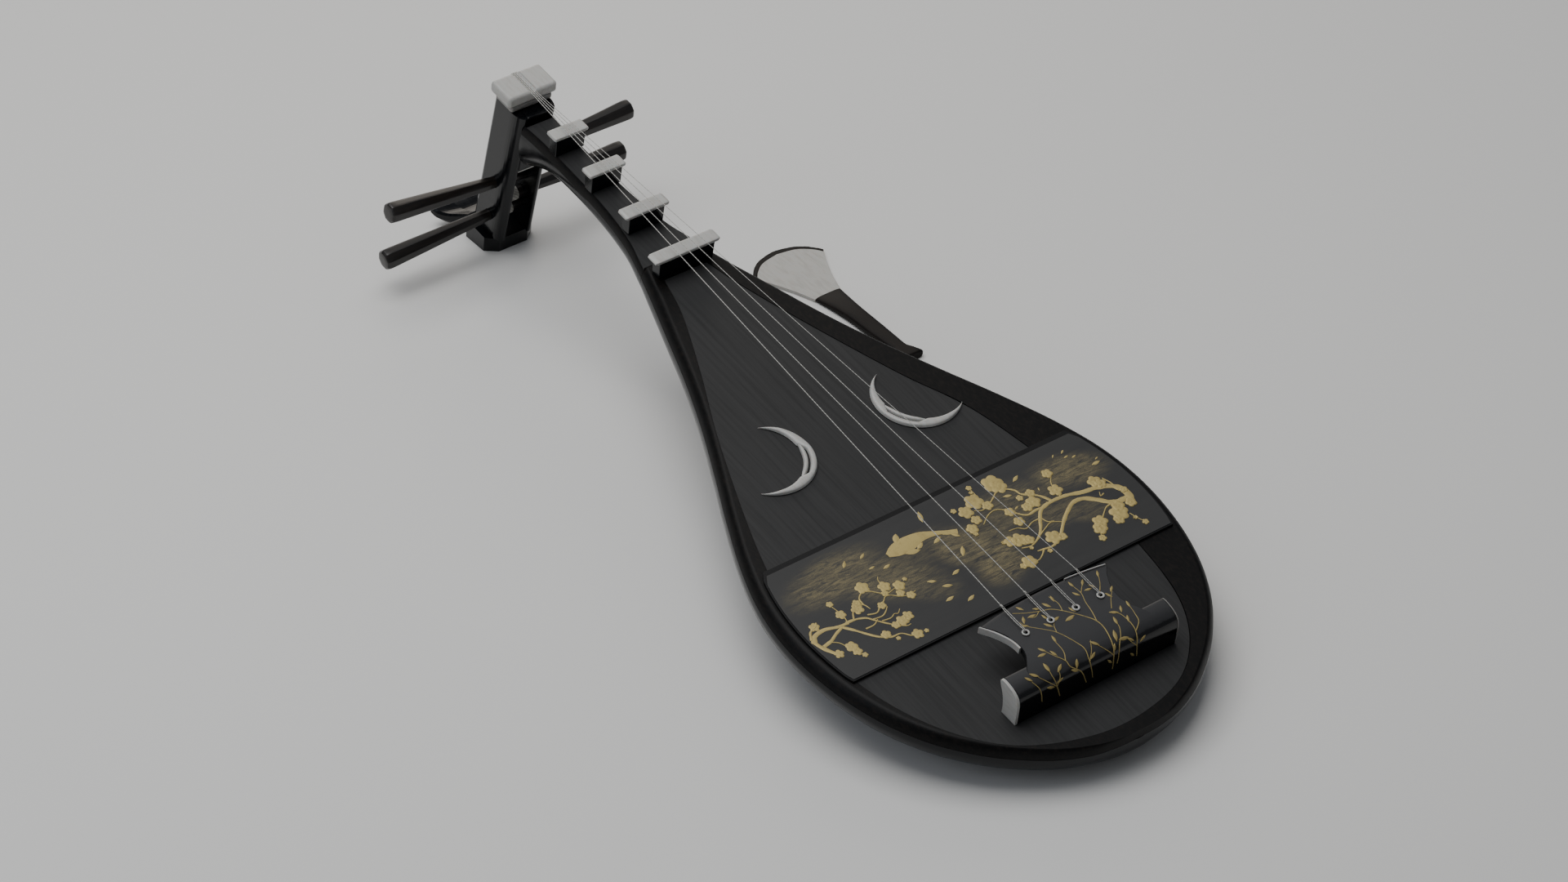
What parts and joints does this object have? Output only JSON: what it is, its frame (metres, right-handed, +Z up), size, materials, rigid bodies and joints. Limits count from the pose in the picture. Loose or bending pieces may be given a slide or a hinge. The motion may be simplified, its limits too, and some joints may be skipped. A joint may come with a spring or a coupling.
{
  "type": "four-string biwa lute with plectrum",
  "caption": "Pear-shaped fretted lute with a bent-back pegbox, tall frets, side pegs, string bridge and decorated band, lying on its back beside its fan-shaped plectrum.",
  "frame": {"origin": "on the floor, under the middle of the box round the instrument and its plectrum", "axes": "+Z up, +Y along the instrument from its tail to its head, +X to its treble side, where the plectrum lies"},
  "size_m": [0.3942, 0.9298, 0.192],
  "materials": {
    "black_lacquer": "deep gloss black lacquer over wood",
    "dark_edge_wood": "dark brown-black speckled wood, satin lacquer",
    "stained_board": "charcoal-stained straight-grained board, matte",
    "painted_band": "dark wood band with raised gold decoration, satin",
    "plain_wood": "unfinished pale wood",
    "ivory": "ivory-white, satin to gloss",
    "grey_horn": "grey horn, satin",
    "peg_wood": "dark close-grained wood, polished",
    "silk_string": "twisted silk string, waxed",
    "plectrum_wood": "dark wood, oiled"
  },
  "bodies": {
    "instrument": {"back_shell": "black_lacquer", "neck": "black_lacquer", "bridge": "black_lacquer", "fret_1_block": "black_lacquer", "fret_2_block": "black_lacquer", "fret_3_block": "black_lacquer", "fret_4_block": "black_lacquer", "pegbox_cheek_bass": "black_lacquer", "pegbox_cheek_treble": "black_lacquer", "pegbox_foot": "black_lacquer", "pegbox_tail": "black_lacquer", "pegbox_front_panel": "black_lacquer", "pegbox_head_block": "black_lacquer", "rim": "dark_edge_wood", "soundboard": "stained_board", "neck_facing": "stained_board", "painted_band": "painted_band", "sound_bar_upper": "plain_wood", "sound_bar_lower": "plain_wood", "crescent_bass": "ivory", "crescent_treble": "ivory", "fret_1_cap": "ivory", "fret_2_cap": "ivory", "fret_3_cap": "ivory", "fret_4_cap": "ivory", "nut_block": "ivory", "pegbox_panel_trim": "ivory", "bridge_end_bass": "ivory", "bridge_end_treble": "ivory", "bridge_edge_bass": "ivory", "bridge_lip": "ivory", "eyelet_1": "ivory", "eyelet_2": "ivory", "eyelet_3": "ivory", "eyelet_4": "ivory", "nut_lip": "grey_horn", "string_1": "silk_string", "string_2": "silk_string", "string_3": "silk_string", "string_4": "silk_string"},
    "peg_1_body": {"peg_1": "peg_wood", "winding_1": "silk_string"},
    "peg_2_body": {"peg_2": "peg_wood", "winding_2": "silk_string"},
    "peg_3_body": {"peg_3": "peg_wood", "winding_3": "silk_string"},
    "peg_4_body": {"peg_4": "peg_wood", "winding_4": "silk_string"},
    "plectrum": {"plectrum_blade": "ivory", "plectrum_tip": "plectrum_wood", "plectrum_handle": "plectrum_wood"}
  },
  "joints": [
    {"name": "peg_1_turn", "type": "hinge", "parent": "instrument", "child": "peg_1_body", "pos_m": [-0.02009, 0.38123, 0.10092], "axis": [0.999, -0.0068, 0.0448], "continuous": true},
    {"name": "peg_2_turn", "type": "hinge", "parent": "instrument", "child": "peg_2_body", "pos_m": [-0.02009, 0.38862, 0.07726], "axis": [0.9934, 0.0173, -0.1136], "continuous": true},
    {"name": "peg_3_turn", "type": "hinge", "parent": "instrument", "child": "peg_3_body", "pos_m": [-0.02009, 0.39556, 0.05505], "axis": [0.9999, 0.0021, -0.0138], "continuous": true},
    {"name": "peg_4_turn", "type": "hinge", "parent": "instrument", "child": "peg_4_body", "pos_m": [-0.02009, 0.40039, 0.0396], "axis": [0.9989, -0.0071, 0.0466], "continuous": true},
    {"name": "plectrum_lift", "type": "slide", "parent": "instrument", "child": "plectrum", "axis": [0, 0, 1], "range_m": [0, 0.15]}
  ]
}
